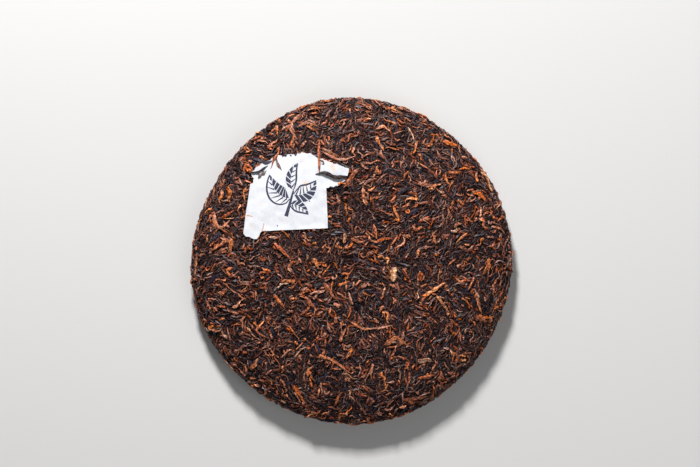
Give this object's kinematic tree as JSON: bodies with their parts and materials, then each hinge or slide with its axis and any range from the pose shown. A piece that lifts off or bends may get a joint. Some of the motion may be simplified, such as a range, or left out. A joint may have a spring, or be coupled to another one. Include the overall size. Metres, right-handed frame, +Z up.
{
  "type": "pressed tea cake",
  "caption": "Round, thin cake of pressed ripe dark tea, domed on the front, with a knot hollow in its flat back and a torn paper ticket pressed into the leaves, to break up for brewing.",
  "frame": {"origin": "on the floor under the middle of the cake, which lies on its back with the domed front up", "axes": "+Z up out of the domed front, +Y towards the top of the front as the ticket's print stands, +X to its right"},
  "size_m": [0.1949, 0.1973, 0.0266],
  "materials": {
    "tea": "dark brown pressed leaf strips with golden tips, dry, satin on the strips and matte between them",
    "ticket_paper": "thin white matte paper with a dark blue printed tea sprig and small tea stains"
  },
  "bodies": {
    "root": {"tea_cake": "tea", "paper_ticket": "ticket_paper"}
  },
  "joints": []
}
